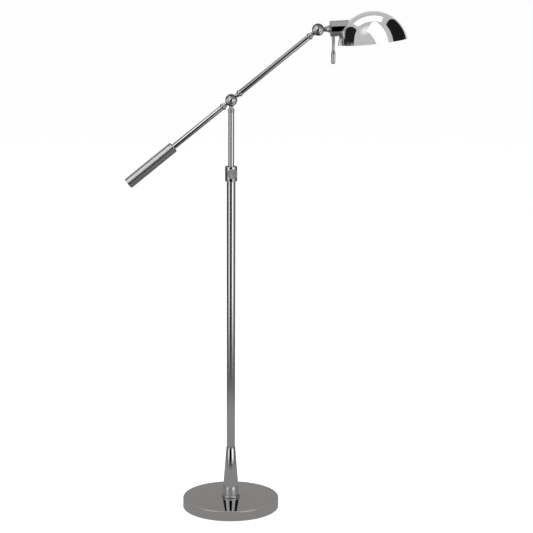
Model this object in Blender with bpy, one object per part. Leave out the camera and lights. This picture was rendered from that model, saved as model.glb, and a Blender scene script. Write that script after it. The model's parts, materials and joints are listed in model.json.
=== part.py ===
"""Adjustable arm floor lamp: weighted base, telescopic pole, counterbalanced boom and a domed head.

Blender units are metres, +Z up. The origin is on the floor, on the pole's axis. The boom lies in the
XZ plane with its lamp end towards +X. Named dimensions are millimetres and degrees, and the helpers
turn them into metres and radians. Outlines of turned pieces are (radius, height) points, where height
runs along the piece's own axis from the centre or pivot that it is placed on.
"""

import math

import bmesh
import bpy
from mathutils import Vector

MM = 0.001
GAP = 0.3                      # clearance between neighbouring pieces

# Sides of the turned pieces, from the widest ones down to those that nobody sees
WIDE = 44
LARGE = 28
MEDIUM = 24
ROUND = 18
HIDDEN = 12

# Base and neck
BASE_RADIUS = 127.0
BASE_HEIGHT = 27.4
BASE_SKIN = 1.5
PAD_THICKNESS = 1.8
ROD_RADIUS = 4.8
ROD_BORE = 3.4
NUT_POCKET_RADIUS = 17.0
NUT_POCKET_HEIGHT = 13.0
INLET_HEIGHT = 10.0
BEAD_RADIUS = 25.0
BEAD_TOP = 34.0
NECK_FOOT_RADIUS = 22.2
NECK_TOP_RADIUS = 11.9
NECK_TOP = 163.0
NECK_WALL = 3.0

# Pole, collar and post
POLE_RADIUS = 11.1
POLE_WALL = 1.5
POLE_FOOT = 166.2
POLE_TOP = 888.0
COLLAR_RADIUS = 15.5
COLLAR_FOOT = 876.0
COLLAR_TOP = 914.6
POST_RADIUS = 7.5
POST_WALL = 1.2
POST_FOOT = 690.0
GUIDE_HEIGHT = 16.0
KNOB_CENTRE = 897.5
KNOB_RADIUS = 12.5
KNOB_START = 17.2              # distance of the knob's inner face from the pole's axis
KNOB_LENGTH = 13.0
KNOB_YAW = 9.0                 # the thumb screw points to -Y, turned this far towards +X
POST_BEAD_CENTRE = 1059.0

# Boom
PIVOT_HEIGHT = 1085.0
BOOM_ANGLE = 39.3
BOOM_LENGTH = 284.0            # from pivot to pivot
ARM_RADIUS = 7.2
ARM_WALL = 1.2
ARM_START = 31.7               # where an arm's tube begins, measured from the nearer pivot
WEIGHT_RADIUS = 14.3
WEIGHT_START = 192.0
WEIGHT_END = 342.0
WEIGHT_SOCKET = 10.0

# Swivel knuckles, measured along the pivot pin from the mid-plane
KNUCKLE_RADIUS = 15.2
KNUCKLE_HALF = 8.6
KNUCKLE_FACE = 0.6
KNUCKLE_SWEEP = 16.1           # room that a half leaves for the other half's disc
NECK_RADIUS = 6.35
NECK_END = 20.5
NECK_WAIST = 1.0               # how much slimmer a neck is behind its end collar
PIN_RADIUS = 3.0
PIN_HEAD_RADIUS = 5.6
PIN_POCKET_RADIUS = 6.4
PIN_POCKET_FLOOR = 3.9
SPIGOT_START = 16.6

# Head
HEAD_ANGLE = 3.3
HEAD_NECK_RADIUS = 7.3
HOUSING_RADIUS = 20.0
HOUSING_WALL = 1.5
HOUSING_START = 30.4
HOUSING_END = 100.0
WAND_STATION = 39.4            # distance of the wand's axis from the head's pivot
WAND_END = 88.6
SHADE_RADIUS = 91.5            # outer radius of the spherical shade
SHADE_RIM = 13.4               # height of the rim above the sphere's centre
SHADE_SKIN = 1.3
SHADE_CENTRE = (137.4, -51.3)  # sphere's centre in the head's X and Z
SHADE_TILT = 2.9               # the shade's extra tilt against the housing
SADDLE_RADIUS = 25.5

UP = (0, 0, 1)
DOWN = (0, 0, -1)
FORWARD = (1, 0, 0)
BACKWARD = (-1, 0, 0)
FRONT = (0, -1, 0)             # the side that the knuckles' screws go in from
REAR = (0, 1, 0)


def clear_scene():
    for item in list(bpy.data.objects):
        bpy.data.objects.remove(item)


def finish(name, colour, roughness, metallic):
    material = bpy.data.materials.new(name)
    material.use_nodes = True
    shader = material.node_tree.nodes["Principled BSDF"]
    shader.inputs["Base Color"].default_value = (*colour, 1.0)
    shader.inputs["Roughness"].default_value = roughness
    shader.inputs["Metallic"].default_value = metallic
    return material


def finishes():
    return {
        "chrome": finish("chrome", (0.78, 0.78, 0.79), 0.05, 1.0),
        "nickel": finish("nickel", (0.58, 0.57, 0.55), 0.08, 1.0),
        "knurled": finish("knurled", (0.60, 0.60, 0.60), 0.32, 1.0),
        "iron": finish("iron", (0.12, 0.12, 0.12), 0.75, 0.6),
        "steel": finish("steel", (0.52, 0.52, 0.52), 0.35, 1.0),
        "felt": finish("felt", (0.03, 0.03, 0.03), 0.95, 0.0),
        "nylon": finish("nylon", (0.08, 0.08, 0.08), 0.50, 0.0),
        "brass": finish("brass", (0.72, 0.53, 0.25), 0.30, 1.0),
        "cable": finish("cable", (0.75, 0.75, 0.72), 0.55, 0.0),
        "porcelain": finish("porcelain", (0.85, 0.84, 0.80), 0.25, 0.0),
        "frosted_glass": finish("frosted_glass", (0.93, 0.93, 0.91), 0.40, 0.0),
    }


def guide(name, parent=None, at=(0, 0, 0), tilt=0.0):
    """An empty at a joint, tilted about Y so that its +X rises by tilt degrees."""
    empty = bpy.data.objects.new(name, None)
    bpy.context.collection.objects.link(empty)
    empty.parent = parent
    empty.location = Vector(at) * MM
    empty.rotation_euler = (0, -math.radians(tilt), 0)
    return empty


def solid(name, mesh_builder, parent, at, along, material):
    """Links a mesh as an object whose own +Z points along the given direction of its parent."""
    mesh = bpy.data.meshes.new(name)
    mesh_builder.to_mesh(mesh)
    mesh_builder.free()
    mesh.shade_smooth()
    mesh.set_sharp_from_angle(angle=math.radians(32))
    mesh.materials.append(material)
    piece = bpy.data.objects.new(name, mesh)
    bpy.context.collection.objects.link(piece)
    piece.parent = parent
    piece.location = Vector(at) * MM
    piece.rotation_euler = Vector(UP).rotation_difference(Vector(along)).to_euler()
    return piece


def turned(name, outline, material=None, parent=None, at=(0, 0, 0), along=UP, facets=ROUND):
    """A solid of revolution. An outline that starts on the axis also ends there."""
    builder = bmesh.new()
    corners = [builder.verts.new((radius * MM, 0, height * MM)) for radius, height in outline]
    links = list(zip(corners, corners[1:]))
    if outline[0][0] > 0:
        links.append((corners[-1], corners[0]))
    edges = [builder.edges.new(link) for link in links]
    bmesh.ops.spin(builder, geom=corners + edges, axis=(0, 0, 1), cent=(0, 0, 0),
                   angle=math.tau, steps=facets, use_merge=True)
    bmesh.ops.remove_doubles(builder, verts=builder.verts, dist=1e-6)
    bmesh.ops.recalc_face_normals(builder, faces=builder.faces)
    return solid(name, builder, parent, at, along, material)


def rod(name, radius, start, end, material=None, parent=None, at=(0, 0, 0), along=UP, facets=ROUND):
    outline = [(0, start), (radius, start), (radius, end), (0, end)]
    return turned(name, outline, material, parent, at, along, facets)


def pipe(name, bore, radius, start, end, material, parent=None, at=(0, 0, 0), along=UP, facets=ROUND):
    outline = [(bore, start), (radius, start), (radius, end), (bore, end)]
    return turned(name, outline, material, parent, at, along, facets)


def block(name, low, high, material=None, parent=None):
    """A box between two corners."""
    low = Vector(low) * MM
    high = Vector(high) * MM
    builder = bmesh.new()
    bmesh.ops.create_cube(builder, size=1.0)
    bmesh.ops.scale(builder, vec=high - low, verts=builder.verts)
    bmesh.ops.translate(builder, vec=(low + high) / 2, verts=builder.verts)
    return solid(name, builder, parent, (0, 0, 0), UP, material)


def combine(piece, tool, operation):
    """Adds a live Boolean to a piece and leaves its tool out of the renders."""
    tool.hide_render = True
    tool.display_type = "WIRE"
    modifier = piece.modifiers.new(tool.name, "BOOLEAN")
    modifier.operation = operation
    modifier.object = tool


def cut(piece, tool):
    combine(piece, tool, "DIFFERENCE")


def arc(radius, start, end, steps, centre=(0.0, 0.0)):
    """Points on a circle, with the angle in degrees measured from the piece's own axis."""
    points = []
    for step in range(steps + 1):
        angle = math.radians(start + (end - start) * step / steps)
        points.append((centre[0] + radius * math.sin(angle), centre[1] + radius * math.cos(angle)))
    return points


def rim_angle(radius):
    """Angle from a sphere's pole down to the shade's rim plane."""
    return math.degrees(math.acos(SHADE_RIM / radius))


# ---------------------------------------------------------------- stand

def base_parts(looks):
    """Felt pad, iron weight and the spun cover that hides it."""
    turned("base_pad", [(0, 0), (121, 0), (121, PAD_THICKNESS), (0, PAD_THICKNESS)],
           looks["felt"], facets=WIDE)
    weight_radius = BASE_RADIUS - BASE_SKIN - 0.6
    weight_top = BASE_HEIGHT - BASE_SKIN - GAP
    weight_foot = PAD_THICKNESS + GAP
    weight = turned("base_weight", [
        (NUT_POCKET_RADIUS, weight_foot), (weight_radius, weight_foot),
        (weight_radius, weight_top - 3), (weight_radius - 3, weight_top),
        (ROD_RADIUS + 0.5, weight_top), (ROD_RADIUS + 0.5, NUT_POCKET_HEIGHT),
        (NUT_POCKET_RADIUS, NUT_POCKET_HEIGHT)], looks["iron"], facets=WIDE)
    cut(weight, block("weight_channel", (-6.5, 8, 0), (6.5, 140, 17)))

    cover_foot = 1.0
    inner = BASE_RADIUS - BASE_SKIN
    edge = 3.0
    outer_edge = arc(edge, 90, 0, 3, (BASE_RADIUS - edge, BASE_HEIGHT - edge))
    inner_edge = arc(edge - BASE_SKIN, 0, 90, 1, (BASE_RADIUS - edge, BASE_HEIGHT - edge))
    hole = ROD_RADIUS + 0.5
    cover = turned("base_cover", [(BASE_RADIUS, cover_foot)] + outer_edge
                   + [(hole, BASE_HEIGHT), (hole, BASE_HEIGHT - BASE_SKIN)]
                   + inner_edge + [(inner, cover_foot)], looks["nickel"], facets=WIDE)
    cut(cover, rod("inlet_hole", 5.3, 110, 140, at=(0, 0, INLET_HEIGHT), along=REAR))


def cord_grommet(looks):
    """Bushing that the supply lead would pass through, low at the back of the base."""
    flange = BASE_RADIUS + GAP
    turned("cord_grommet", [(3.2, 121), (5.0, 121), (5.0, flange), (7.0, flange),
                            (7.0, flange + 1.2), (6.2, flange + 2), (3.2, flange + 2)],
           looks["nylon"], at=(0, 0, INLET_HEIGHT), along=REAR)


def hex_nut(name, across_flats, bore, start, end, material, parent=None, at=(0, 0, 0), along=UP):
    nut = rod(name, across_flats / math.sqrt(3), start, end, material, parent, at, along, facets=6)
    cut(nut, rod(name + "_thread", bore, start - 1, end + 1, None, parent, at, along, facets=HIDDEN))
    return nut


def tie_rod_parts(looks):
    """Hollow threaded rod that clamps base, neck and pole together, with its nut and washer."""
    pipe("tie_rod", ROD_BORE, ROD_RADIUS, 3.5, 186, looks["steel"], facets=HIDDEN)
    hex_nut("base_nut", 17.0, ROD_RADIUS + GAP, 4.8, 10.2, looks["steel"])
    pipe("base_washer", ROD_RADIUS + GAP, 14.0, 10.6, 12.6, looks["steel"], facets=HIDDEN)


def neck_parts(looks):
    """Bead ring, tapered neck and the thin ring between neck and pole."""
    foot = BASE_HEIGHT + GAP
    middle = (foot + BEAD_TOP) / 2
    bulge = (BEAD_TOP - foot) / 2
    bead = arc(bulge, 180, 0, 4, (BEAD_RADIUS - bulge, middle))
    turned("neck_bead_ring", bead + [(12, BEAD_TOP), (12, foot)], looks["chrome"], facets=LARGE)

    start = BEAD_TOP + GAP
    shoulder = NECK_TOP - 13
    turned("neck_cone", [
        (NECK_FOOT_RADIUS - NECK_WALL, start), (NECK_FOOT_RADIUS, start),
        (NECK_TOP_RADIUS, NECK_TOP), (ROD_RADIUS + 0.5, NECK_TOP),
        (ROD_RADIUS + 0.5, shoulder), (NECK_TOP_RADIUS - NECK_WALL, shoulder)],
        looks["chrome"], facets=LARGE)
    turned("neck_top_ring", [
        (ROD_RADIUS + 0.5, NECK_TOP + GAP), (10.9, NECK_TOP + GAP), (11.5, NECK_TOP + 1.0),
        (11.5, NECK_TOP + 2.0), (10.9, POLE_FOOT - GAP), (ROD_RADIUS + 0.5, POLE_FOOT - GAP)],
        looks["chrome"])


def pole_parts(looks):
    """Outer tube of the pole, its threaded foot and the lead inside."""
    bore = POLE_RADIUS - POLE_WALL
    pipe("lower_tube", bore, POLE_RADIUS, POLE_FOOT, POLE_TOP, looks["chrome"])
    pipe("tube_foot_insert", ROD_RADIUS + GAP, bore - GAP, POLE_FOOT + 0.8, 192,
         looks["brass"], facets=HIDDEN)
    rod("pole_lead", 2.7, 20, 560, looks["cable"], facets=HIDDEN)


def thumb_axis():
    yaw = math.radians(KNOB_YAW)
    return (math.sin(yaw), -math.cos(yaw), 0)


def collar_parts(looks):
    """Collar on top of the pole and the bush that guides the post."""
    ledge = POLE_TOP + 0.6
    bush_top = COLLAR_TOP - 3
    chamfer = 0.8
    at_screw = {"at": (0, 0, KNOB_CENTRE), "along": thumb_axis(), "facets": HIDDEN}
    collar = turned("collar_body", [
        (POLE_RADIUS + GAP, COLLAR_FOOT), (COLLAR_RADIUS - chamfer, COLLAR_FOOT),
        (COLLAR_RADIUS, COLLAR_FOOT + chamfer), (COLLAR_RADIUS, COLLAR_TOP - chamfer),
        (COLLAR_RADIUS - chamfer, COLLAR_TOP), (POST_RADIUS + 0.4, COLLAR_TOP),
        (POST_RADIUS + 0.4, bush_top), (9.4, bush_top), (9.4, ledge),
        (POLE_RADIUS + GAP, ledge)], looks["chrome"], facets=MEDIUM)
    cut(collar, rod("collar_thread", PIN_RADIUS + GAP, 5, 20, **at_screw))
    bushing = pipe("collar_bushing", POST_RADIUS + GAP, 9.1, ledge + GAP, bush_top - GAP,
                   looks["nylon"])
    cut(bushing, rod("bushing_window", 3.2, 5, 13, **at_screw))


# ---------------------------------------------------------------- thumb screw

def thumb_screw_parts(looks):
    """Pad, stud and knurled knob. They share one axis, which meets the pole's."""
    screw = guide("thumb_screw_axis", at=(0, 0, KNOB_CENTRE))
    axis = thumb_axis()
    pad_end = 11.0
    rod("clamp_pad", 2.8, POST_RADIUS + 0.4, pad_end, looks["brass"], screw, along=axis, facets=HIDDEN)
    rod("thumb_stud", PIN_RADIUS, pad_end + GAP, 25, looks["steel"], screw, along=axis, facets=HIDDEN)
    end = KNOB_START + KNOB_LENGTH
    turned("thumb_knob", [
        (0, end - 0.3), (KNOB_RADIUS - 2.2, end - 0.3), (KNOB_RADIUS - 1.6, end),
        (KNOB_RADIUS - 0.9, end), (KNOB_RADIUS, end - 0.9), (KNOB_RADIUS, KNOB_START + 0.9),
        (KNOB_RADIUS - 0.9, KNOB_START), (PIN_RADIUS + GAP, KNOB_START),
        (PIN_RADIUS + GAP, 25.4), (0, 25.4)], looks["knurled"], screw, along=axis, facets=MEDIUM)


# ---------------------------------------------------------------- post

def post_parts(looks):
    """Inner tube with its guide bush, the bead coupler on top and the lead inside."""
    bore = POST_RADIUS - POST_WALL
    coupler_foot = POST_BEAD_CENTRE - 5.6
    coupler_top = POST_BEAD_CENTRE + 4.3
    pipe("upper_tube", bore, POST_RADIUS, POST_FOOT, coupler_foot - GAP, looks["chrome"])
    pipe("upper_tube_guide", POST_RADIUS + GAP, POLE_RADIUS - POLE_WALL - GAP,
         POST_FOOT, POST_FOOT + GUIDE_HEIGHT, looks["nylon"])
    turned("post_coupler", [
        (3.9, coupler_foot - 13), (bore - GAP, coupler_foot - 13), (bore - GAP, coupler_foot),
        (7.5, coupler_foot), (7.5, POST_BEAD_CENTRE - 3), (8.5, POST_BEAD_CENTRE - 1.6),
        (9.2, POST_BEAD_CENTRE - 0.5), (9.2, POST_BEAD_CENTRE + 0.5),
        (8.5, POST_BEAD_CENTRE + 1.6), (6.6, coupler_top), (3.9, coupler_top)],
        looks["chrome"])
    rod("post_lead", 2.7, POST_FOOT + 4, 1030, looks["cable"], facets=HIDDEN)


# ---------------------------------------------------------------- swivel knuckles

def knuckle_half(name, material, pivot, side, necks, neck_radius, neck_bore):
    """One half of a swivel knuckle: a disc on one side of the mid-plane with round necks.

    side points along the pin out of this half, and necks lists the directions that they leave in.
    """
    face = KNUCKLE_HALF
    half = turned(name, [
        (0, -1), (KNUCKLE_RADIUS, -1), (KNUCKLE_RADIUS, face - 2.2), (KNUCKLE_RADIUS - 0.7, face - 0.9),
        (KNUCKLE_RADIUS - 2.4, face), (KNUCKLE_RADIUS - 3.2, face - 0.7), (0, face - 0.7)],
        material, pivot, along=side, facets=MEDIUM)
    inward = Vector(side) * -1
    waist = neck_radius - NECK_WAIST
    for number, direction in enumerate(necks, 1):
        neck = turned(f"{name}_neck_{number}", [
            (0, 8), (waist, 8), (waist, NECK_END - 1.9), (neck_radius, NECK_END - 1.6),
            (neck_radius, NECK_END), (0, NECK_END)], None, pivot, along=direction)
        combine(half, neck, "UNION")
    cut(half, rod(f"{name}_sweep", KNUCKLE_SWEEP, -KNUCKLE_FACE, 14, None, pivot,
                  along=inward, facets=MEDIUM))
    cut(half, turned(f"{name}_pin_hole", [
        (0, -2), (PIN_RADIUS + GAP, -2), (PIN_RADIUS + GAP, PIN_POCKET_FLOOR),
        (PIN_POCKET_RADIUS, PIN_POCKET_FLOOR), (PIN_POCKET_RADIUS, face + 3), (0, face + 3)],
        None, pivot, along=side, facets=HIDDEN))
    for number, direction in enumerate(necks, 1):
        socket = rod(f"{name}_socket_{number}", neck_bore, SPIGOT_START - 0.4, NECK_END + 1,
                     None, pivot, along=direction, facets=HIDDEN)
        cut(half, socket)


def knuckle_cap(name, material, pivot, side):
    """Domed cap that hides a pin's head or nut."""
    foot = KNUCKLE_HALF - 0.4
    dome = arc(12.4, 41, 0, 3, (0, foot + 3.6 - 12.4))
    turned(name, [(0, foot), (8.3, foot)] + dome, material, pivot, along=side)


def knuckle_pin_parts(prefix, looks, pivot):
    """Pivot screw from the front, its nut in the rear half's pocket and the friction washer."""
    head = PIN_POCKET_FLOOR + GAP
    turned(f"{prefix}_pivot_screw", [
        (0, -7.2), (PIN_RADIUS, -7.2), (PIN_RADIUS, head), (PIN_HEAD_RADIUS, head),
        (PIN_HEAD_RADIUS, head + 2.6), (PIN_HEAD_RADIUS - 0.8, head + 3.4), (0, head + 3.4)],
        looks["steel"], pivot, along=FRONT, facets=HIDDEN)
    hex_nut(f"{prefix}_pivot_nut", 10.0, PIN_RADIUS + GAP, head, head + 3.4,
            looks["steel"], pivot, along=REAR)
    pipe(f"{prefix}_friction_washer", PIN_RADIUS + GAP, 12.0, -KNUCKLE_FACE + GAP,
         KNUCKLE_FACE - GAP, looks["brass"], pivot, along=FRONT)


def swivel_parts(looks, pivot):
    """Rear half of the lower knuckle, on a hollow nipple that turns in the post's coupler."""
    knuckle_half("swivel_knuckle", looks["chrome"], pivot, REAR, [DOWN], 6.25, 3.9)
    knuckle_cap("lower_cap_rear", looks["chrome"], pivot, REAR)
    shoulder = PIVOT_HEIGHT - (POST_BEAD_CENTRE - 18.6) + GAP
    turned("swivel_nipple", [
        (2.2, SPIGOT_START), (3.6, SPIGOT_START), (3.6, shoulder), (5.4, shoulder),
        (5.4, shoulder + 4), (2.2, shoulder + 4)], looks["brass"], pivot, along=DOWN, facets=HIDDEN)


# ---------------------------------------------------------------- boom

def bead_coupler(name, material, pivot, direction):
    """Turned ferrule with a bead, between a knuckle's neck and an arm's tube."""
    start = NECK_END + GAP
    end = ARM_START - GAP
    plug = ARM_RADIUS - ARM_WALL - GAP
    turned(name, [
        (2.6, SPIGOT_START), (3.2, SPIGOT_START), (3.2, start), (6.4, start), (6.4, 23.2),
        (8.9, 26.1), (9.7, 26.9), (9.7, 27.9), (8.9, 28.7), (7.7, 29.7), (7.4, end),
        (plug, end), (plug, end + 10), (2.6, end + 10)], material, pivot, along=direction)


def boom_knuckles(looks, lower, upper):
    knuckle_half("boom_knuckle_lower", looks["chrome"], lower, FRONT, [FORWARD, BACKWARD],
                 NECK_RADIUS, 3.5)
    knuckle_cap("lower_cap_front", looks["chrome"], lower, FRONT)
    knuckle_pin_parts("lower", looks, lower)
    knuckle_half("boom_knuckle_upper", looks["chrome"], upper, REAR, [BACKWARD], NECK_RADIUS, 3.5)
    knuckle_cap("upper_cap_rear", looks["chrome"], upper, REAR)


def boom_arms(looks, lower, upper):
    bore = ARM_RADIUS - ARM_WALL
    bead_coupler("front_coupler", looks["chrome"], lower, FORWARD)
    bead_coupler("rear_coupler", looks["chrome"], lower, BACKWARD)
    bead_coupler("arm_end_coupler", looks["chrome"], upper, BACKWARD)
    pipe("front_arm_tube", bore, ARM_RADIUS, ARM_START, BOOM_LENGTH - ARM_START,
         looks["chrome"], lower, along=FORWARD)
    pipe("rear_arm_tube", bore, ARM_RADIUS, ARM_START, WEIGHT_START + WEIGHT_SOCKET - GAP,
         looks["chrome"], lower, along=BACKWARD)
    rod("boom_lead", 2.4, 44, BOOM_LENGTH - 44, looks["cable"], lower, along=FORWARD, facets=HIDDEN)


def counterweight_parts(looks, lower):
    """Weight on the rear arm, with the stud and tube plug that hold it."""
    stud = 4.0
    socket_floor = WEIGHT_START + WEIGHT_SOCKET
    plug_start = socket_floor - 16
    stud_end = socket_floor + 28
    chamfer = 1.2
    pipe("rear_tube_plug", stud + GAP, ARM_RADIUS - ARM_WALL - GAP, plug_start,
         socket_floor - 0.6, looks["brass"], lower, along=BACKWARD, facets=HIDDEN)
    rod("counterweight_stud", stud, plug_start, stud_end, looks["steel"], lower,
        along=BACKWARD, facets=HIDDEN)
    turned("counterweight", [
        (0, WEIGHT_END), (WEIGHT_RADIUS - chamfer, WEIGHT_END),
        (WEIGHT_RADIUS, WEIGHT_END - chamfer), (WEIGHT_RADIUS, WEIGHT_START + chamfer),
        (WEIGHT_RADIUS - chamfer, WEIGHT_START), (ARM_RADIUS + GAP, WEIGHT_START),
        (ARM_RADIUS + GAP, socket_floor), (stud + GAP, socket_floor),
        (stud + GAP, stud_end + 2), (0, stud_end + 2)],
        looks["knurled"], lower, along=BACKWARD, facets=MEDIUM)


# ---------------------------------------------------------------- head

def head_neck_parts(looks, upper):
    """Front half of the upper knuckle, the flared ferrule and the nipple that the head rolls on."""
    knuckle_half("head_knuckle", looks["chrome"], upper, FRONT, [FORWARD], HEAD_NECK_RADIUS, 4.3)
    knuckle_cap("upper_cap_front", looks["chrome"], upper, FRONT)
    knuckle_pin_parts("upper", looks, upper)
    start = NECK_END + GAP
    end = HOUSING_START - GAP
    turned("head_ferrule", [
        (4.3, start), (6.6, start), (6.6, start + 0.9), (7.4, 23.2), (9.2, 26.4), (9.75, 27.4),
        (9.75, 28.4), (9.1, end), (4.3, end)], looks["chrome"], upper, along=FORWARD)
    shoulder = HOUSING_START + 3.5
    turned("roll_nipple", [
        (2.6, SPIGOT_START), (4.0, SPIGOT_START), (4.0, shoulder), (7.0, shoulder),
        (7.0, shoulder + 2.6), (2.6, shoulder + 2.6)], looks["brass"], upper,
        along=FORWARD, facets=HIDDEN)


def housing_parts(looks, head, wand):
    """End cap and tube of the lamp housing, with the rotary dimmer and the wand's bushing."""
    plate = HOUSING_START + 3.2
    bore = HOUSING_RADIUS - HOUSING_WALL
    rounding = 3.0
    corner = arc(rounding, 0, 90, 3)
    edge = [(HOUSING_RADIUS - rounding + across, plate - along_axis)
            for across, along_axis in corner]
    turned("housing_cap", [(4.3, HOUSING_START)] + [(HOUSING_RADIUS - rounding, HOUSING_START)]
           + edge + [(bore - GAP, plate), (bore - GAP, plate + 1.3), (bore - 2.3, plate + 1.3),
                     (bore - 2.3, plate), (4.3, plate)],
           looks["chrome"], head, along=FORWARD, facets=LARGE)
    tube = pipe("housing_tube", bore, HOUSING_RADIUS, plate + GAP, HOUSING_END,
                looks["chrome"], head, along=FORWARD, facets=LARGE)
    cut(tube, rod("bushing_hole", 4.6, 10, 30, None, wand, along=DOWN))
    block("dimmer_switch", (37.0, -8, -15.8), (55, 8, 2), looks["nylon"], head)
    pipe("wand_bushing", 2.4, 4.15, 18.9, 22.5, looks["chrome"], wand, along=DOWN)


def lamp_parts(looks, head):
    """Porcelain lampholder, screw cap and the hollow glass of the bulb."""
    socket_floor = 71.9
    turned("lampholder", [
        (0, 60), (13, 60), (16.5, 63), (16.5, HOUSING_END - 1), (13.6, HOUSING_END - 1),
        (13.6, socket_floor), (0, socket_floor)], looks["porcelain"], head, along=FORWARD)
    turned("bulb_cap", [
        (0, 72.3), (4.5, 72.3), (4.5, 74), (8, 76), (13.2, 78), (13.2, 97), (11.8, 98), (0, 98)],
        looks["brass"], head, along=FORWARD)
    glass = 1.0
    crown = 142.0
    bulb = 24.0
    outside = [(11.5, 98.3), (12.6, 105), (17.6, 119), (22.4, 131)] + arc(bulb, 90, 0, 4, (0, crown))
    inside = arc(bulb - glass, 0, 90, 4, (0, crown)) + [(21.4, 131), (16.5, 119), (11.5, 105),
                                                        (10.5, 98.3)]
    outline = outside + inside
    turned("bulb_glass", outline, looks["frosted_glass"], head, along=FORWARD)


def shade_parts(looks, head):
    """Spun spherical shade with a round hole for the housing, and the saddle that holds it."""
    centre = guide("shade_centre", head, (SHADE_CENTRE[0], 0, SHADE_CENTRE[1]), SHADE_TILT)
    inner = SHADE_RADIUS - SHADE_SKIN
    rim = math.sqrt(SHADE_RADIUS ** 2 - SHADE_RIM ** 2)
    hem = 2.4
    hem_top = SHADE_RIM + 2.2
    hem_angle = math.degrees(math.acos((hem_top + 0.3) / inner))
    dome = turned("shade_dome", arc(SHADE_RADIUS, 0, rim_angle(SHADE_RADIUS), 8)
                  + [(rim - hem, SHADE_RIM), (rim - hem, hem_top)]
                  + arc(inner, hem_angle, 0, 7), looks["chrome"], centre, facets=WIDE)
    cut(dome, rod("shade_hole", HOUSING_RADIUS + 0.4, 25, 108, None, head, along=FORWARD, facets=LARGE))

    saddle_outer = inner - 1.0
    saddle_inner = saddle_outer - 1.6
    saddle = pipe("shade_saddle", HOUSING_RADIUS + 0.5, SADDLE_RADIUS, 35, 108,
                  looks["steel"], head, along=FORWARD, facets=MEDIUM)
    shell = turned("saddle_shell", arc(saddle_outer, 0, rim_angle(saddle_outer), 10)
                   + arc(saddle_inner, rim_angle(saddle_inner), 0, 10), None, centre, facets=WIDE)
    combine(saddle, shell, "INTERSECT")


def wand_parts(looks, wand):
    """Switch wand: a slim tapered stem with its shaft, and a thicker grip."""
    grip_start = 53.3
    turned("wand_stem", [
        (0, 16.6), (2.1, 16.6), (2.1, 22.8), (4.15, 22.8), (4.1, 24.5), (3.5, 52),
        (3.2, grip_start - GAP), (1.8, grip_start - GAP), (1.8, 72), (0, 72)],
        looks["chrome"], wand, along=DOWN)
    turned("wand_grip", [
        (0, WAND_END), (4.3, WAND_END), (5.0, WAND_END - 0.7), (5.6, grip_start + 3),
        (5.3, grip_start + 0.7), (4.6, grip_start), (2.1, grip_start), (2.1, 74), (0, 74)],
        looks["chrome"], wand, along=DOWN)


def build_lamp():
    clear_scene()
    looks = finishes()

    base_parts(looks)
    cord_grommet(looks)
    tie_rod_parts(looks)
    neck_parts(looks)
    pole_parts(looks)
    collar_parts(looks)
    thumb_screw_parts(looks)
    post_parts(looks)

    pivot = guide("post_swivel_axis", at=(0, 0, PIVOT_HEIGHT))
    lower = guide("boom_pivot", at=(0, 0, PIVOT_HEIGHT), tilt=BOOM_ANGLE)
    upper_end = guide("boom_end", lower, (BOOM_LENGTH, 0, 0))
    head = guide("head_pivot", upper_end, tilt=HEAD_ANGLE - BOOM_ANGLE)
    wand = guide("wand_axis", head, (WAND_STATION, 0, 0), tilt=-HEAD_ANGLE)
    swivel_parts(looks, pivot)
    boom_knuckles(looks, lower, upper_end)
    boom_arms(looks, lower, upper_end)
    counterweight_parts(looks, lower)
    head_neck_parts(looks, head)
    housing_parts(looks, head, wand)
    lamp_parts(looks, head)
    shade_parts(looks, head)
    wand_parts(looks, wand)


build_lamp()
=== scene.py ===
"""Adjustable arm floor lamp: finishes, finely turned pieces, studio and camera for its model.

The frame is in metres. Outlines of turned pieces are in millimetres, as (radius, distance along the
piece's axis, and optionally the rounding of that corner). Axes come from the record's joints.
"""
import json
import math

import bmesh
import bpy
from mathutils import Matrix, Vector

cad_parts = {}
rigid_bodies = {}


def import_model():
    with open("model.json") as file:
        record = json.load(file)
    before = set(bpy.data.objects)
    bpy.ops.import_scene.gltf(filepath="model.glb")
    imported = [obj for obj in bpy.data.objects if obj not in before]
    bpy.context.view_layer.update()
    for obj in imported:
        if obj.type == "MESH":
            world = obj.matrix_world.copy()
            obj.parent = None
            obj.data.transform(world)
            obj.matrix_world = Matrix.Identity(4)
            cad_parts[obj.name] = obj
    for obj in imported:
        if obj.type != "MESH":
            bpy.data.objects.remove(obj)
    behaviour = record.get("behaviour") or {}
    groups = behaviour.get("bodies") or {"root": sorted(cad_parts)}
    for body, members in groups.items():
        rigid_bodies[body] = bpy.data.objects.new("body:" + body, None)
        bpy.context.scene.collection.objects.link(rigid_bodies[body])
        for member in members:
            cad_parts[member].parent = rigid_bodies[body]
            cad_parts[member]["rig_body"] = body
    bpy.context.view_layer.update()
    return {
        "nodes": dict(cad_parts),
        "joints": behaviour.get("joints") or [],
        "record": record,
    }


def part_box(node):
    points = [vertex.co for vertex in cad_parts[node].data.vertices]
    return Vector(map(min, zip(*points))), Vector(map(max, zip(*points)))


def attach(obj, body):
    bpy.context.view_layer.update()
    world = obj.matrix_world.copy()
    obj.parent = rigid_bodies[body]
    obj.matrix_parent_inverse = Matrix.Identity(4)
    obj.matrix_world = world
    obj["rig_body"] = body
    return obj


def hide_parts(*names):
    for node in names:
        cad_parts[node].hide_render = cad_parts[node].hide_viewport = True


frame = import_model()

MM = 0.001
BROAD = 256                    # sides of the base cover and the shade
FINE = 160                     # sides of a turned piece
SLIM = 96                      # sides of a slim turned piece
FILLET_STEPS = 5
SMOOTH = 34                    # steepest edge that is still shaded smooth, in degrees
SMOOTH_CUT = 40                # the same on a piece with an opening cut in it

UP = Vector((0, 0, 1))
FRONT = Vector((0, -1, 0))
REAR = Vector((0, 1, 0))

JOINTS = {joint["name"]: joint for joint in frame["joints"]}


def joint_place(name):
    """A joint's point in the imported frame, in metres."""
    return Vector(JOINTS[name]["pos_m"])


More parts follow.
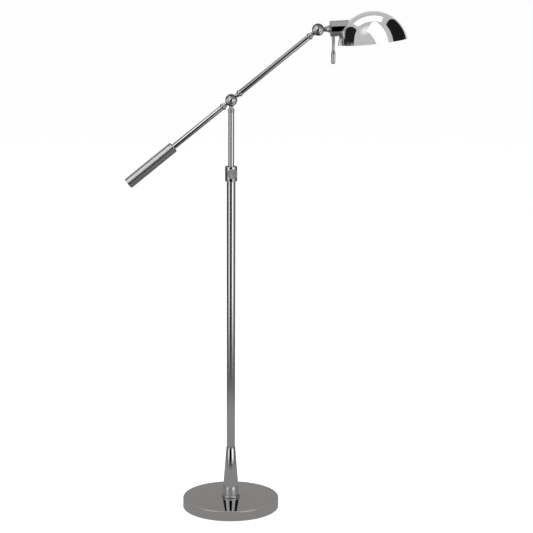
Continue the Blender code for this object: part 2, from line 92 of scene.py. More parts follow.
def joint_axis(name):
    """A joint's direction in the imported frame."""
    return Vector(JOINTS[name]["axis"]).normalized()


FLOOR = Vector((0, 0, 0))
LOWER = joint_place("boom_tilt")
UPPER = joint_place("head_tilt")
BOOM = (UPPER - LOWER).normalized()
HEAD = joint_axis("head_roll")
WAND = joint_place("dimmer_turn")
WAND_DOWN = joint_axis("dimmer_turn")
THUMB = joint_place("thumb_screw_turn")
THUMB_OUT = joint_axis("thumb_screw_turn")


def span(node, origin, along):
    """Where a CAD node starts and ends along an axis, and its largest radius, in millimetres."""
    corners = [v.co - origin for v in frame["nodes"][node].data.vertices]
    heights = [corner.dot(along) for corner in corners]
    radii = [(corner - along * height).length for corner, height in zip(corners, heights)]
    return min(heights) / MM, max(heights) / MM, max(radii) / MM


# ---------------------------------------------------------------- finishes

def node(tree, kind, **inputs):
    """Adds a node. Each named input is a value or another node's socket."""
    made = tree.nodes.new(kind)
    for name, value in inputs.items():
        socket = made.inputs[name.replace("_", " ")]
        if isinstance(value, bpy.types.NodeSocket):
            tree.links.new(value, socket)
        else:
            socket.default_value = value
    return made


def between(tree, value, low, high):
    """Maps the usual span of a noise onto a range."""
    ranged = node(tree, "ShaderNodeMapRange", Value=value)
    ranged.inputs["From Min"].default_value = 0.25
    ranged.inputs["From Max"].default_value = 0.75
    ranged.inputs["To Min"].default_value = low
    ranged.inputs["To Max"].default_value = high
    return ranged.outputs["Result"]


def noise(tree, size, stretch=(1, 1, 1), detail=3.0):
    """Noise whose grains are about size metres, stretched along the object's own axes."""
    place = node(tree, "ShaderNodeTexCoord").outputs["Object"]
    scaled = node(tree, "ShaderNodeMapping", Vector=place, Scale=stretch).outputs["Vector"]
    made = node(tree, "ShaderNodeTexNoise", Vector=scaled, Scale=1 / size, Detail=detail)
    return made.outputs["Fac"]


def finish(name, colour, rough, *, shift=0.04, spread=0.3, patch=0.03, grain=0.0006,
           stretch=(1, 1, 1), relief=0.0, metallic=1.0, **constants):
    """A procedural finish: colour drifting in patches, roughness and relief following a grain."""
    material = bpy.data.materials.new(name)
    material.use_nodes = True
    tree = material.node_tree
    shader = tree.nodes["Principled BSDF"]
    ends = {"A": [channel * (1 - shift) for channel in colour],
            "B": [min(1.0, channel * (1 + shift)) for channel in colour]}
    mix = node(tree, "ShaderNodeMix")
    mix.data_type = "RGBA"
    tree.links.new(between(tree, noise(tree, patch), 0.0, 1.0), mix.inputs["Factor"])
    for socket in mix.inputs:
        if socket.type == "RGBA":
            socket.default_value = (*ends[socket.name], 1)
    drifting = [out for out in mix.outputs if out.type == "RGBA"][0]
    tree.links.new(drifting, shader.inputs["Base Color"])
    fine = noise(tree, grain, stretch, 4.0)
    tree.links.new(between(tree, fine, rough * (1 - spread), rough * (1 + spread)),
                   shader.inputs["Roughness"])
    if relief:
        bump = node(tree, "ShaderNodeBump", Height=fine, Strength=0.6, Distance=relief)
        tree.links.new(bump.outputs["Normal"], shader.inputs["Normal"])
    shader.inputs["Metallic"].default_value = metallic
    for socket, value in constants.items():
        shader.inputs[socket.replace("_", " ")].default_value = value
    return material


LATHE = (1, 1, 40)             # grain drawn out around a turned piece's axis

LOOKS = {
    "chrome": finish("chrome", (0.78, 0.785, 0.79), 0.04, shift=0.01, patch=0.05, grain=0.0009),
    "nickel": finish("nickel", (0.79, 0.775, 0.755), 0.05, shift=0.02, patch=0.06, grain=0.0012),
    "knurled": finish("knurled", (0.74, 0.74, 0.74), 0.18, shift=0.06, patch=0.006, grain=0.0005,
                      relief=0.00002),
    "iron": finish("iron", (0.055, 0.05, 0.047), 0.75, shift=0.35, patch=0.008, grain=0.0015,
                   relief=0.0004, metallic=0.4),
    "steel": finish("steel", (0.50, 0.50, 0.51), 0.32, shift=0.08, patch=0.01, grain=0.0004,
                    stretch=LATHE, relief=0.00002),
    "felt": finish("felt", (0.028, 0.030, 0.032), 0.95, shift=0.4, patch=0.004, grain=0.0004,
                   relief=0.0004, metallic=0.0, Sheen_Weight=0.4, Sheen_Roughness=0.5),
    "nylon": finish("nylon", (0.035, 0.035, 0.037), 0.48, shift=0.15, patch=0.006, grain=0.0004,
                    relief=0.00003, metallic=0.0),
    "brass": finish("brass", (0.72, 0.50, 0.22), 0.28, shift=0.10, patch=0.006, grain=0.0004,
                    stretch=LATHE, relief=0.00002),
    "cable": finish("cable", (0.70, 0.70, 0.66), 0.55, shift=0.06, patch=0.01, grain=0.0006,
                    relief=0.00005, metallic=0.0),
    "porcelain": finish("porcelain", (0.84, 0.83, 0.79), 0.18, shift=0.04, patch=0.012,
                        grain=0.0015, relief=0.00003, metallic=0.0, Coat_Weight=0.5,
                        Coat_Roughness=0.06),
    "frosted_glass": finish("frosted_glass", (0.90, 0.90, 0.88), 0.42, shift=0.02, patch=0.01,
                            grain=0.0004, relief=0.00003, metallic=0.0,
                            Transmission_Weight=0.35, IOR=1.45),
}
REFLECTOR = finish("reflector_enamel", (0.86, 0.86, 0.84), 0.38, shift=0.02, patch=0.02,
                   grain=0.0008, relief=0.00004, metallic=0.0)
SATIN = finish("satin_knob", (0.80, 0.80, 0.80), 0.42, shift=0.04, patch=0.006, grain=0.0005,
               relief=0.00002)
PLATED = ("swivel_nipple", "roll_nipple")      # brass in the record, plated where they show

SLOTS = {part["node"]: part["material_slot"] for part in frame["record"]["subparts"]}


# ---------------------------------------------------------------- mesh building

def rounded(outline):
    """Replaces each corner that has a rounding with a short arc."""
    count = len(outline)
    closed = outline[0][0] > 0 or outline[-1][0] > 0
    points = []
    for index, corner in enumerate(outline):
        here = Vector(corner[:2])
        radius = corner[2] if len(corner) > 2 else 0.0
        if not radius or (not closed and index in (0, count - 1)):
            points.append(here)
            continue
        before = Vector(outline[index - 1][:2]) - here
        after = Vector(outline[(index + 1) % count][:2]) - here
        half = before.angle(after) / 2
        reach = min(radius / math.tan(half), before.length * 0.49, after.length * 0.49)
        radius = reach * math.tan(half)
        middle = (before.normalized() + after.normalized()).normalized()
        centre = here + middle * (radius / math.sin(half))
        start = here + before.normalized() * reach - centre
        end = here + after.normalized() * reach - centre
        turn = start.angle(end)
        if start.x * end.y - start.y * end.x < 0:
            turn = -turn
        for step in range(FILLET_STEPS + 1):
            angle = turn * step / FILLET_STEPS
            cosine, sine = math.cos(angle), math.sin(angle)
            points.append(centre + Vector((start.x * cosine - start.y * sine,
                                           start.x * sine + start.y * cosine)))
    return points


def arc(radius, start, end, steps, centre=(0.0, 0.0)):
    """Points on a circle, with the angle in degrees measured from the piece's own axis."""
    points = []
    for step in range(steps + 1):
        angle = math.radians(start + (end - start) * step / steps)
        points.append((centre[0] + radius * math.sin(angle), centre[1] + radius * math.cos(angle)))
    return points


def facing(origin, along):
    """Placement whose +Z runs along an axis."""
    return Matrix.Translation(origin) @ UP.rotation_difference(along).to_matrix().to_4x4()


def closed_mesh(name, vertices, faces):
    """A mesh from corners and faces, with every face turned outwards."""
    mesh = bpy.data.meshes.new(name)
    mesh.from_pydata(vertices, [], faces)
    builder = bmesh.new()
    builder.from_mesh(mesh)
    bmesh.ops.recalc_face_normals(builder, faces=builder.faces)
    builder.to_mesh(mesh)
    builder.free()
    return mesh


def revolve(outline, sides):
    """A closed mesh turned from an outline. One that starts on the axis also ends there."""
    points = rounded(outline)
    vertices, rings = [], []
    for point in points:
        if point.x < 1e-6:
            rings.append([len(vertices)])
            vertices.append((0, 0, point.y * MM))
            continue
        rings.append(list(range(len(vertices), len(vertices) + sides)))
        for side in range(sides):
            angle = math.tau * side / sides
            vertices.append((point.x * MM * math.cos(angle), point.x * MM * math.sin(angle),
                             point.y * MM))
    pairs = list(zip(rings, rings[1:]))
    if len(rings[0]) > 1 or len(rings[-1]) > 1:
        pairs.append((rings[-1], rings[0]))
    faces = []
    for lower, upper in pairs:
        for side in range(sides):
            after = (side + 1) % sides
            if len(lower) == 1 and len(upper) == 1:
                continue
            if len(lower) == 1:
                faces.append((lower[0], upper[after], upper[side]))
            elif len(upper) == 1:
                faces.append((lower[side], lower[after], upper[0]))
            else:
                faces.append((lower[side], lower[after], upper[after], upper[side]))
    return closed_mesh("turned", vertices, faces)


def shade(mesh, angle=SMOOTH):
    """Smooth shading up to an angle between faces, in degrees."""
    mesh.shade_smooth()
    mesh.set_sharp_from_angle(angle=math.radians(angle))


def loose(name, mesh, origin, along):
    """An object with no body yet, whose +Z runs along an axis from an origin."""
    piece = bpy.data.objects.new(name, mesh)
    bpy.context.scene.collection.objects.link(piece)
    piece.matrix_world = facing(origin, along)
    return piece


MADE = {}                      # the piece that stands for each CAD node


def adopt(piece, cad_node, look=None):
    """Gives a piece its finish, by the slot of the CAD node that it replaces, and that node's body.
    """
    slot = SLOTS[cad_node]
    if not piece.data.materials:
        piece.data.materials.append(look or LOOKS[slot])
    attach(piece, frame["nodes"][cad_node]["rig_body"])
    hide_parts(cad_node)
    MADE[cad_node] = piece
    return piece


def turned(cad_node, outline, origin=FLOOR, along=UP, sides=FINE, look=None):
    """Replaces a CAD node with a finely turned piece."""
    mesh = revolve(outline, sides)
    shade(mesh)
    return adopt(loose(cad_node + "_turned", mesh, origin, along), cad_node, look)


def tube(cad_node, wall, origin=FLOOR, along=UP):
    """Replaces a CAD tube, with its two ends rounded over."""
    start, end, radius = span(cad_node, origin, along)
    edge = 0.35
    return turned(cad_node, [(radius - wall, start, edge), (radius, start, edge),
                             (radius, end, edge), (radius - wall, end, edge)], origin, along)


def settle(piece):
    """Turns a piece's modifiers into its mesh."""
    bpy.context.view_layer.update()
    graph = bpy.context.evaluated_depsgraph_get()
    mesh = bpy.data.meshes.new_from_object(piece.evaluated_get(graph))
    piece.modifiers.clear()
    piece.data = mesh


def combine(piece, tool, operation):
    """Applies a Boolean and removes its tool."""
    bpy.context.view_layer.update()
    modifier = piece.modifiers.new("combine", "BOOLEAN")
    modifier.operation = operation
    modifier.object = tool
    modifier.solver = "EXACT"
    settle(piece)
    bpy.data.objects.remove(tool)


def rod_tool(radius, start, end, origin, along, sides=SLIM):
    """A plain cylinder to cut with."""
    return loose("tool", revolve([(0, start), (radius, start), (radius, end), (0, end)], sides),
                 origin, along)


# ---------------------------------------------------------------- stand

def stand_pieces():
    """Base, pole, neck ring and collar."""
    foot, base_top, base_radius = span("base_cover", FLOOR, UP)
    skin = 1.5
    rod = 5.3                  # hole for the tie rod
    cover = loose("base_cover_spun", revolve([
        (base_radius - skin, foot, 0.3), (base_radius, foot, 0.3), (base_radius, base_top, 2.6),
        (rod, base_top), (rod, base_top - skin),
        (base_radius - skin, base_top - skin, 1.2)], BROAD),
        FLOOR, UP)
    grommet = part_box("cord_grommet")
    inlet = Vector((0, 0, (grommet[0].z + grommet[1].z) / 2))
    combine(cover, rod_tool(5.3, 110, 140, inlet, REAR), "DIFFERENCE")
    shade(cover.data, SMOOTH_CUT)
    adopt(cover, "base_cover")

    flange = base_radius + 0.3
    start = span("cord_grommet", inlet, REAR)[0]
    turned("cord_grommet", [
        (3.2, start, 0.3), (5.0, start, 0.3), (5.0, flange), (7.0, flange, 0.4),
        (7.0, flange + 1.2, 0.5), (6.2, flange + 2, 0.5), (3.2, flange + 2, 0.6)],
        inlet, REAR, SLIM)

    low, high, radius = span("neck_bead_ring", FLOOR, UP)
    bulge = (high - low) / 2
    turned("neck_bead_ring", arc(bulge, 180, 0, 16, (radius - bulge, low + bulge))
           + [(12, high), (12, low)])

    low, high, foot_radius = span("neck_cone", FLOOR, UP)
    top_radius = 11.9
    turned("neck_cone", [
        (foot_radius - 3, low, 0.3), (foot_radius, low, 0.5), (top_radius, high, 0.5),
        (rod, high), (rod, high - 13), (top_radius - 3, high - 13)])
    low, high, radius = span("neck_top_ring", FLOOR, UP)
    turned("neck_top_ring", [(rod, low), (radius - 0.4, low, 0.3), (radius, (low + high) / 2, 0.9),
                             (radius - 0.4, high, 0.3), (rod, high)])

    tube("lower_tube", 1.5)
    low, high, radius = span("collar_body", FLOOR, UP)
    pole, bush, post = 11.4, 9.4, 7.9      # bores for the pole, the guide bush and the post
    collar = loose("collar_body_turned", revolve([
        (pole, low, 0.3), (radius, low, 0.8), (radius, high, 0.8), (post, high, 0.4),
        (post, high - 3), (bush, high - 3), (bush, high - 26), (pole, high - 26)], FINE), FLOOR, UP)
    combine(collar, rod_tool(3.3, 5, 20, THUMB, THUMB_OUT), "DIFFERENCE")
    shade(collar.data, SMOOTH_CUT)
    adopt(collar, "collar_body")


# ---------------------------------------------------------------- knurling

KNURL_FADE = 2                 # rows over which the knurling rises at each end
KNURL_CREST = 0.12             # how far the crests are turned down, as a share of the depth


def knurl_band(start, end, radius, around, depth):
    """Rings of diamond points between two distances: (distance, [radius per side]) rows."""
    pitch = math.tau * radius / around
    rows = max(4, 2 * round((end - start) / pitch))
    made = []
    for row in range(rows + 1):
        at = start + (end - start) * row / rows
        rise = min(1.0, row / KNURL_FADE, (rows - row) / KNURL_FADE)
        radii = []
        for side in range(2 * around):
            low = (row + side) % 2 == 1
            radii.append(radius - (depth * rise if low else depth * KNURL_CREST * rise))
        made.append((at, radii))
    return made


def knurled_piece(cad_node, before, band, after, around, depth, origin, along, look=None):
    """A band of diamond knurling between two plain outlines that each start or end on the axis."""
    start, end, radius = band
    sides = 2 * around
    rings = [(point.y, [point.x] * sides) for point in rounded(before)]
    first_band = len(rings)
    rings += knurl_band(start, end, radius, around, depth)
    last_band = len(rings) - 1
    rings += [(point.y, [point.x] * sides) for point in rounded(after)]
    vertices, index = [], []
    for at, radii in rings:
        if max(radii) < 1e-6:
            index.append([len(vertices)] * sides)
            vertices.append((0, 0, at * MM))
            continue
        index.append(list(range(len(vertices), len(vertices) + sides)))
        for side, radius_here in enumerate(radii):
            angle = math.tau * side / sides
            vertices.append((radius_here * MM * math.cos(angle), radius_here * MM * math.sin(angle),
                             at * MM))
    faces, flat = [], []
    for lower in range(len(rings) - 1):
        upper = lower + 1
        in_band = first_band <= lower < last_band
        for side in range(sides):
            after_side = (side + 1) % sides
            a, b = index[lower][side], index[lower][after_side]
            c, d = index[upper][after_side], index[upper][side]
            if in_band:
                low_here = (lower - first_band + side) % 2 == 1
                pieces = [(a, b, c), (a, c, d)] if low_here else [(a, b, d), (b, c, d)]
            else:
                pieces = [(a, b, c, d)]
            for corners in pieces:
                unique = tuple(dict.fromkeys(corners))
                if len(unique) > 2:
                    faces.append(unique)
                    flat.append(in_band)
    mesh = closed_mesh("knurled", vertices, faces)
    shade(mesh)
    for polygon, is_flat in zip(mesh.polygons, flat):
        if is_flat:
            polygon.use_smooth = False
    return adopt(loose(cad_node + "_knurled", mesh, origin, along), cad_node, look)


def thumb_knob():
    """The knurled knob of the clamp's screw."""
    start, end, radius = span("thumb_knob", THUMB, THUMB_OUT)
    hole = 3.3                 # for the screw's stud
    floor = 25.4
    knurled_piece(
        "thumb_knob",
        [(0, floor), (hole, floor), (hole, start), (radius - 1.0, start, 0.3),
         (radius, start + 1.0, 0.3)],
        (start + 1.2, end - 1.2, radius),
        [(radius, end - 1.0, 0.3), (radius - 1.0, end, 0.3), (radius - 2.0, end, 0.3),
         (radius - 2.6, end - 0.4, 0.3), (0, end - 0.4)],
        54, 0.45, THUMB, THUMB_OUT, SATIN)


def counterweight():
    """The knurled weight at the back of the boom."""
    back = -BOOM
    start, end, radius = span("counterweight", LOWER, back)
    arm, stud = 7.5, 4.3       # bores for the arm tube and the stud
    knurled_piece(
        "counterweight",
        [(0, start + 40), (stud, start + 40), (stud, start + 10), (arm, start + 10),
         (arm, start, 0.4), (radius - 0.9, start, 0.5), (radius, start + 0.9, 0.5),
         (radius, start + 5.0, 0.1), (radius - 0.5, start + 5.4, 0.1),
         (radius - 0.5, start + 6.0, 0.1)],
        (start + 6.4, end - 6.4, radius),
        [(radius - 0.5, end - 6.0, 0.1), (radius - 0.5, end - 5.4, 0.1), (radius, end - 5.0, 0.1),
         (radius, end - 0.9, 0.5), (radius - 0.9, end, 0.5), (0, end)],
        84, 0.05, LOWER, back)


# ---------------------------------------------------------------- post and knuckles

def post_pieces():
    """The sliding post and the coupler on top of it."""
    tube("upper_tube", 1.2)
    low, high, bead_radius = span("post_coupler", FLOOR, UP)
    bead = high - 4.3
    foot = bead - 5.6
    bore, plug = 3.9, 6.0      # its bore, and the plug inside the tube
    tube_radius = span("upper_tube", FLOOR, UP)[2]
    turned("post_coupler", [
        (bore, low), (plug, low), (plug, foot), (tube_radius, foot, 0.3),
        (tube_radius, bead - 3.2, 0.5), (bead_radius, bead - 1.1, 0.9),
        (bead_radius, bead + 1.1, 0.9), (6.7, bead + 2.6, 0.5), (6.6, high, 0.4), (bore, high)])


def knuckle_half(cad_node, pivot, side, necks, neck_radius, neck_bore):
    """One half of a swivel knuckle, with a flat rim, a sloping ring inside it and its necks."""
    radius, half_width, face_gap = 15.2, 8.6, 0.6
    neck_end, waist, sweep = 20.5, neck_radius - 1.0, 16.1
    half = loose(cad_node + "_machined", revolve([
        (0, -1), (radius, -1), (radius, half_width - 1.0, 0.7), (radius - 1.0, half_width, 0.4),
        (radius - 2.8, half_width, 0.2), (radius - 3.1, half_width - 2.1, 0.2),
        (radius - 3.5, half_width - 2.2, 0.2), (9.2, half_width - 0.8, 0.5),
        (8.6, half_width - 0.8, 0.2), (8.6, half_width - 1.6), (0, half_width - 1.6)], FINE),
        pivot, side)
    for direction in necks:
        neck = loose("tool", revolve([
            (0, 8), (waist, 8), (waist, neck_end - 1.9, 0.5), (neck_radius, neck_end - 1.6, 0.3),
            (neck_radius, neck_end), (0, neck_end)], SLIM), pivot, direction)
        combine(half, neck, "UNION")
    combine(half, rod_tool(sweep, -face_gap, 14, pivot, -side, FINE), "DIFFERENCE")
    pin, nut, nut_floor = 3.3, 6.4, 3.9
    combine(half, loose("tool", revolve([
        (0, -2), (pin, -2), (pin, nut_floor), (nut, nut_floor), (nut, half_width + 3),
        (0, half_width + 3)], SLIM), pivot, side), "DIFFERENCE")
    for direction in necks:
        combine(half, rod_tool(neck_bore, 16.2, neck_end + 1, pivot, direction), "DIFFERENCE")
    bevel = half.modifiers.new("edges", "BEVEL")
    bevel.width = 0.00025
    bevel.segments = 2
    bevel.limit_method = "ANGLE"
    sharp = 38
    bevel.angle_limit = math.radians(sharp)
    settle(half)
    shade(half.data, sharp)
    return adopt(half, cad_node)


def cap(cad_node, pivot, side):
    """Domed cap with a stepped rim and a ring groove."""
    foot, top, radius = span(cad_node, pivot, side)
    crown = 12.4               # radius of its domed face
    dome = arc(crown, 30, 0, 12, (0, top - crown))
    turned(cad_node, [(0, foot), (radius, foot, 0.2), (radius, foot + 1.1, 0.5),
                      (radius - 1.1, foot + 1.5, 0.2), (radius - 1.4, foot + 1.1, 0.2)] + dome,
           pivot, side)


def coupler(cad_node, origin, along):
    """Ferrule with a bead, between a knuckle's neck and an arm's tube."""
    start, end, _ = span(cad_node, origin, along)
    shoulder = start + 4.2
    bead = start + 10.8
    foot = end - 10
    bore, stem, collar, ring, plug = 2.6, 3.2, 6.4, 9.7, 5.7
    turned(cad_node, [
        (bore, start), (stem, start), (stem, shoulder), (collar, shoulder, 0.4),
        (collar, shoulder + 2.4, 0.8), (ring, bead - 1.0, 0.7), (ring, bead + 1.0, 0.7),
        (7.6, foot - 1.6, 0.6), (7.4, foot, 0.3), (plug, foot), (plug, end), (bore, end)],
        origin, along)


def knuckle_pieces():
    """The two swivel knuckles and their caps."""
    knuckle_half("swivel_knuckle", LOWER, REAR, [-UP], 6.25, 3.9)
    knuckle_half("boom_knuckle_lower", LOWER, FRONT, [BOOM, -BOOM], 6.35, 3.5)
    knuckle_half("boom_knuckle_upper", UPPER, REAR, [-BOOM], 6.35, 3.5)
    knuckle_half("head_knuckle", UPPER, FRONT, [HEAD], 7.3, 4.3)
    cap("lower_cap_rear", LOWER, REAR)
    cap("lower_cap_front", LOWER, FRONT)
    cap("upper_cap_rear", UPPER, REAR)
    cap("upper_cap_front", UPPER, FRONT)


def boom_pieces():
    """Both arm tubes and their couplers."""
    coupler("front_coupler", LOWER, BOOM)
    coupler("rear_coupler", LOWER, -BOOM)
    coupler("arm_end_coupler", UPPER, -BOOM)
    tube("front_arm_tube", 1.2, LOWER, BOOM)
    tube("rear_arm_tube", 1.2, LOWER, -BOOM)


# ---------------------------------------------------------------- head

def head_pieces():
    """Ferrule, back plate and barrel of the lamp housing."""
    bore = 4.3
    start, end, bead = span("head_ferrule", UPPER, HEAD)
    turned("head_ferrule", [
        (bore, start), (6.6, start, 0.3), (6.6, start + 0.9, 0.2), (7.4, start + 2.4, 0.6),
        (bead, end - 2.9, 0.8), (bead, end - 1.5, 0.7), (9.0, end, 0.3), (bore, end)], UPPER, HEAD)

    start, end, radius = span("housing_cap", UPPER, HEAD)
    plate = end - 1.3
    inner = radius - 1.8
    turned("housing_cap", [
        (bore, start, 0.3), (radius, start, 2.9), (radius, plate, 0.25), (inner, plate),
        (inner, end), (inner - 2.0, end), (inner - 2.0, plate), (bore, plate)], UPPER, HEAD)

    start, end, radius = span("housing_tube", UPPER, HEAD)
    wall = 1.5
    barrel = loose("housing_tube_turned", revolve([
        (radius - wall, start, 0.2), (radius, start, 0.3), (radius, end, 0.5),
        (radius - wall, end, 0.5)], FINE), UPPER, HEAD)
    combine(barrel, rod_tool(4.6, 10, 30, WAND, WAND_DOWN), "DIFFERENCE")
    shade(barrel.data, SMOOTH_CUT)
    adopt(barrel, "housing_tube")


def bulb_pieces():
    """Lampholder, screw cap with its thread, and a smooth reflector-shaped bulb."""
    start, end, radius = span("lampholder", UPPER, HEAD)
    bore, bottom = 13.6, start + 11.9
    turned("lampholder", [
        (0, start), (13, start, 1.0), (radius, start + 3, 1.0), (radius, end, 1.2),
        (bore, end, 0.8), (bore, bottom, 0.8), (0, bottom)], UPPER, HEAD)
    start, end, radius = span("bulb_cap", UPPER, HEAD)
    contact, turns, half_pitch, depth = 4.5, 5, 1.75, 0.7
    thread = [(radius - (depth if crest % 2 else 0.0), start + 6.2 + crest * half_pitch, 0.5)
              for crest in range(turns * 2 + 1)]
    turned("bulb_cap", [(0, start), (contact, start, 0.5), (contact, start + 1.7, 0.3),
                        (8, start + 3.7, 0.5)]
           + thread + [(11.8, end, 0.4), (0, end)], UPPER, HEAD, SLIM, LOOKS["brass"])

    start, end, radius = span("bulb_glass", UPPER, HEAD)
    crown = end - radius
    outer_wall = [(11.5, start, 0.3), (12.6, start + 6.7, 8.0), (17.6, start + 20.7, 20.0),
                  (radius * 0.945, start + 33.0, 6.0)] + arc(radius, 88, 0, 22, (0, crown))
    inner_wall = arc(radius - 1, 0, 88, 22, (0, crown)) + [
        (21.6, start + 33.0, 6.0), (16.5, start + 20.7, 20.0), (11.5, start + 6.7, 8.0),
        (10.5, start, 0.3)]
    turned("bulb_glass", outer_wall + inner_wall, UPPER, HEAD)


def shade_pieces():
    """Spun spherical shade with a rolled hem, a hole for the housing and an enamelled inside."""
    corners = [v.co for v in frame["nodes"]["shade_dome"].data.vertices]
    tilt = math.radians(6.2)   # the shade's axis against the vertical
    axis = Vector((-math.sin(tilt), 0, math.cos(tilt)))
    rim_plane = min(corner.dot(axis) for corner in corners) / MM
    rim_corners = [corner for corner in corners if corner.dot(axis) / MM < rim_plane + 0.05]
    along = axis.cross(REAR).normalized()
    offsets = [corner.dot(along) for corner in rim_corners]
    radius, skin, rim_height = 91.5, 1.3, 13.4
    centre = along * ((max(offsets) + min(offsets)) / 2) + axis * ((rim_plane - rim_height) * MM)
    inner = radius - skin
    rim_angle = math.degrees(math.acos((rim_height + 1.2) / radius))
    rim = math.sqrt(radius ** 2 - rim_height ** 2)
    hem = [(rim - 0.05, rim_height + 0.5, 0.4), (rim - 0.9, rim_height, 0.5),
           (rim - 2.4, rim_height + 0.5, 0.4), (rim - 2.4, rim_height + 2.0, 0.4)]
    inner_angle = math.degrees(math.acos((rim_height + 2.6) / inner))
    steps = 80
    dome = loose("shade_dome_spun", revolve(
        arc(radius, 0, rim_angle, steps) + hem + arc(inner, inner_angle, 0, steps), BROAD),
        centre, axis)
    combine(dome, rod_tool(20.4, 25, 108, UPPER, HEAD, FINE), "DIFFERENCE")
    mesh = dome.data
    mesh.materials.clear()
    mesh.materials.append(LOOKS["chrome"])
    mesh.materials.append(REFLECTOR)
    limit = (radius - skin / 2) * MM
    for polygon in mesh.polygons:
        outward = polygon.center.normalized()
        is_inside = polygon.center.length < limit and polygon.normal.dot(outward) < -0.7
        polygon.material_index = 1 if is_inside else 0
    shade(mesh, SMOOTH_CUT)
    adopt(dome, "shade_dome")


def wand_pieces():
    """The dimmer wand and its bushing."""
    start, end, radius = span("wand_bushing", WAND, WAND_DOWN)
    bore = 2.4
    turned("wand_bushing", [(bore, start), (radius, start, 0.2), (radius, end, 0.5),
                            (bore, end, 0.3)], WAND, WAND_DOWN, SLIM)
    start, end, _ = span("wand_stem", WAND, WAND_DOWN)
    grip_start, grip_end, grip = span("wand_grip", WAND, WAND_DOWN)
    turned("wand_stem", [
        (0, start), (2.1, start), (2.1, start + 6.2), (4.15, start + 6.2, 0.4),
        (4.1, start + 8.0, 0.4), (3.5, grip_start - 1.4, 0.3), (3.2, grip_start - 0.3, 0.2),
        (1.8, grip_start - 0.3), (1.8, end), (0, end)], WAND, WAND_DOWN, SLIM)
    turned("wand_grip", [
        (0, grip_end), (4.3, grip_end, 0.7), (grip - 0.55, grip_end - 3.0, 6.0),
        (grip, grip_start + 11, 9.0), (4.1, grip_start + 1.2, 2.0), (3.6, grip_start, 0.4),
        (2.1, grip_start), (2.1, grip_start + 20.7), (0, grip_start + 20.7)],
        WAND, WAND_DOWN, SLIM)


# ---------------------------------------------------------------- studio

def math_node(tree, operation, first, second=None, third=None):
    """Adds a sum. Each term is a number or another node's socket."""
    made = tree.nodes.new("ShaderNodeMath")
    made.operation = operation
    for socket, value in zip(made.inputs, (first, second, third)):
        if value is None:
            continue
        if isinstance(value, bpy.types.NodeSocket):
            tree.links.new(value, socket)
        else:
            socket.default_value = value
    return made.outputs["Value"]


def step_up(tree, value, edge, soft):
    """0 below the edge and 1 above it, with a soft change."""
    made = tree.nodes.new("ShaderNodeMapRange")
    made.interpolation_type = "SMOOTHSTEP"
    tree.links.new(value, made.inputs["Value"])
    made.inputs["From Min"].default_value = edge - soft / 2
    made.inputs["From Max"].default_value = edge + soft / 2
    return made.outputs["Result"]


def step_down(tree, value, edge, soft):
    """1 below the edge and 0 above it, with a soft change."""
    return math_node(tree, "SUBTRACT", 1.0, step_up(tree, value, edge, soft))


def inside(tree, edges):
    """Product of soft half-planes, each (value, edge, soft, +1 above or -1 below)."""
    product = None
    for value, edge, soft, sense in edges:
        factor = (step_up if sense > 0 else step_down)(tree, value, edge, soft)
        product = factor if product is None else math_node(tree, "MULTIPLY", product, factor)
    return product


def paint(tree, under, factor, level):
    """Lays a brightness over another where factor is 1."""
    change = math_node(tree, "SUBTRACT", level, under)
    return math_node(tree, "MULTIPLY_ADD", change, factor, under)


def chart(tree, direction):
    """A direction's azimuth and height, and its place on a chart centred on the zenith, in degrees.

    On the chart, across runs to the right and ahead runs towards the camera side.
    """
    split = node(tree, "ShaderNodeSeparateXYZ", Vector=direction)
    x, y, z = (split.outputs[name] for name in "XYZ")
    towards = math_node(tree, "MULTIPLY", y, -1.0)
    height = math_node(tree, "MULTIPLY", math_node(tree, "ARCSINE", z), 180 / math.pi)
    azimuth = math_node(tree, "MULTIPLY", math_node(tree, "ARCTAN2", x, towards), 180 / math.pi)
    zenith = math_node(tree, "SUBTRACT", 90.0, height)
    level = math_node(tree, "SQRT", math_node(
        tree, "ADD", math_node(tree, "MULTIPLY", x, x), math_node(tree, "MULTIPLY", y, y)))
    scale = math_node(tree, "DIVIDE", zenith, math_node(tree, "MAXIMUM", level, 1e-4))
    across = math_node(tree, "MULTIPLY", scale, x)
    ahead = math_node(tree, "MULTIPLY", scale, towards)
    return azimuth, height, across, ahead


def constant(tree, value):
    """A number as a socket."""
    made = tree.nodes.new("ShaderNodeValue")
    made.outputs[0].default_value = value
    return made.outputs[0]


def dark_panels(tree, light, place):
    """Two black panels, left and right of the camera, with slanting front edges."""
    _, height, across, ahead = place
    front = math_node(tree, "MULTIPLY_ADD", across, -0.86, -34.3)
    left = inside(tree, [(across, -44.6, 1.5, -1),
                         (math_node(tree, "SUBTRACT", ahead, front), 0.0, 2, -1),
                         (height, 1.5, 4, 1), (ahead, -52, 2, 1)])
    light = paint(tree, light, left, 0.016)
    front = math_node(tree, "MULTIPLY_ADD", across, 0.76, -22.0)
    right = inside(tree, [(across, 29.6, 1.5, 1),
                          (math_node(tree, "SUBTRACT", ahead, front), 0.0, 2, -1),
                          (height, 3.0, 4, 1), (ahead, -59.5, 3, 1)])
    return paint(tree, light, right, 0.013)


BELT = (                       # what stands round the lamp below eye level, by azimuth
    (-181, -98, 0.03), (-98, -80, 0.12), (-80, -60, 0.36), (-60, -34, 0.95), (-34, -23, 0.20),
    (-23, 23, 0.0), (23, 62, 1.20), (62, 84, 0.36), (84, 130, 0.13), (130, 181, 0.05))


